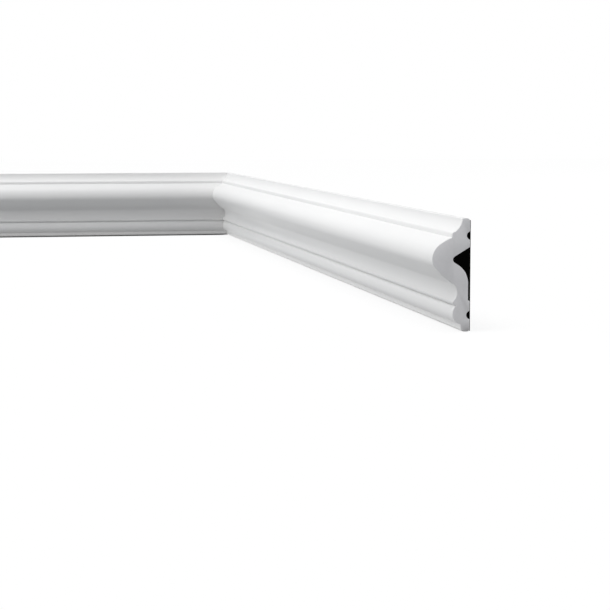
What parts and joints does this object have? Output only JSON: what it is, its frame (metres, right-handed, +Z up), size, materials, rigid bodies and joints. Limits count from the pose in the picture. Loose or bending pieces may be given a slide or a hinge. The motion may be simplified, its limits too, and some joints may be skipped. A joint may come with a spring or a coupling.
{
  "type": "wall moulding",
  "caption": "White dado rail moulding turned round an inside corner, in straight lengths of one profile mitred together and glued to the walls.",
  "frame": {"origin": "where the two wall planes meet, at the rail's lower edge", "axes": "+Z up the walls; the right length runs along +X with its back facing +Y, the left length runs along -Y with its back facing -X"},
  "size_m": [1.2, 1.2, 0.086],
  "materials": {
    "white_polymer": "satin"
  },
  "bodies": {
    "root": {"right_length": "white_polymer", "left_length": "white_polymer"}
  },
  "joints": []
}
